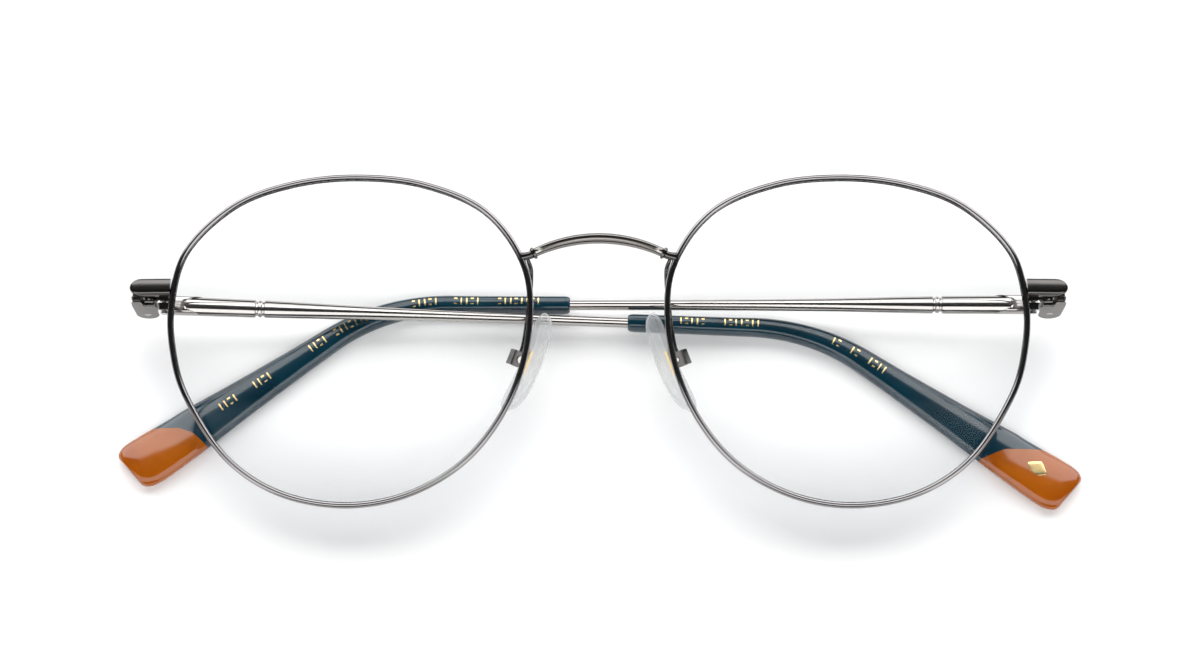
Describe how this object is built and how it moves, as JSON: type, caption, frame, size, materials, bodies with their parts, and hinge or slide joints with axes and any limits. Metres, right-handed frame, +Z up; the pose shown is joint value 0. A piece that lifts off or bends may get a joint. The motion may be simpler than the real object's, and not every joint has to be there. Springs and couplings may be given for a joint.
{
  "type": "folding reading glasses",
  "caption": "Round thin metal reading glasses, folded and lying on the temples, with clear lenses, silicone nose pads and plastic temple sleeves that end in amber.",
  "frame": {"origin": "on the table, below the middle of the folded glasses' bounding box", "axes": "+X to the right along the front, +Y towards the top of the rims, +Z up from the table; the lenses face up"},
  "size_m": [0.1371, 0.0469, 0.0169],
  "materials": {
    "gunmetal": "polished dark plating",
    "bright_metal": "polished bright plating",
    "screw_steel": "turned steel",
    "clear_lens": "clear, polished and coated",
    "clear_silicone": "clear silicone, satin",
    "blue_acetate": "polished deep blue-green acetate",
    "amber_acetate": "polished amber acetate, slightly translucent",
    "gold": "polished gold colour"
  },
  "bodies": {
    "front": {"bridge": "gunmetal", "endpiece_left": "gunmetal", "endpiece_right": "gunmetal", "hinge_screw_left": "screw_steel", "hinge_screw_right": "screw_steel", "lens_left": "clear_lens", "lens_right": "clear_lens", "lock_screw_left": "screw_steel", "lock_screw_right": "screw_steel", "pad_arm_left": "bright_metal", "pad_arm_right": "bright_metal", "pad_box_left": "bright_metal", "pad_box_right": "bright_metal", "pad_screw_left": "screw_steel", "pad_screw_right": "screw_steel", "rim_left": "gunmetal", "rim_lock_left": "gunmetal", "rim_lock_right": "gunmetal", "rim_right": "gunmetal"},
    "temple_left": {"temple_bar_left": "bright_metal", "temple_sleeve_left": "blue_acetate", "tip_end_left": "amber_acetate", "tip_ornament_left": "gold"},
    "temple_right": {"temple_bar_right": "bright_metal", "temple_sleeve_right": "blue_acetate", "tip_end_right": "amber_acetate"},
    "pad_left": {"nose_pad_left": "clear_silicone", "pad_insert_left": "bright_metal"},
    "pad_right": {"nose_pad_right": "clear_silicone", "pad_insert_right": "bright_metal"}
  },
  "joints": [
    {"name": "temple_right_hinge", "type": "hinge", "parent": "front", "child": "temple_right", "pos_m": [0.0648, 0.00766, 0.0059], "axis": [0, -1, -0.0087], "range_deg": [0, 92]},
    {"name": "temple_left_hinge", "type": "hinge", "parent": "front", "child": "temple_left", "pos_m": [-0.0648, 0.00766, 0.0059], "axis": [0, 1, -0.0087], "range_deg": [0, 84]},
    {"name": "pad_right_rock", "type": "hinge", "parent": "front", "child": "pad_right", "pos_m": [0.01145, -0.0013, 0.00712], "axis": [-0.3266, -0.4135, 0.8499], "range_deg": [-8, 8]},
    {"name": "pad_left_rock", "type": "hinge", "parent": "front", "child": "pad_left", "pos_m": [-0.01145, -0.0013, 0.00712], "axis": [-0.3266, 0.4135, -0.8499], "range_deg": [-8, 8]}
  ],
  "couplings": [
    {"joint": "temple_left_hinge", "follows": "temple_right_hinge", "ratio": 0.91}
  ]
}
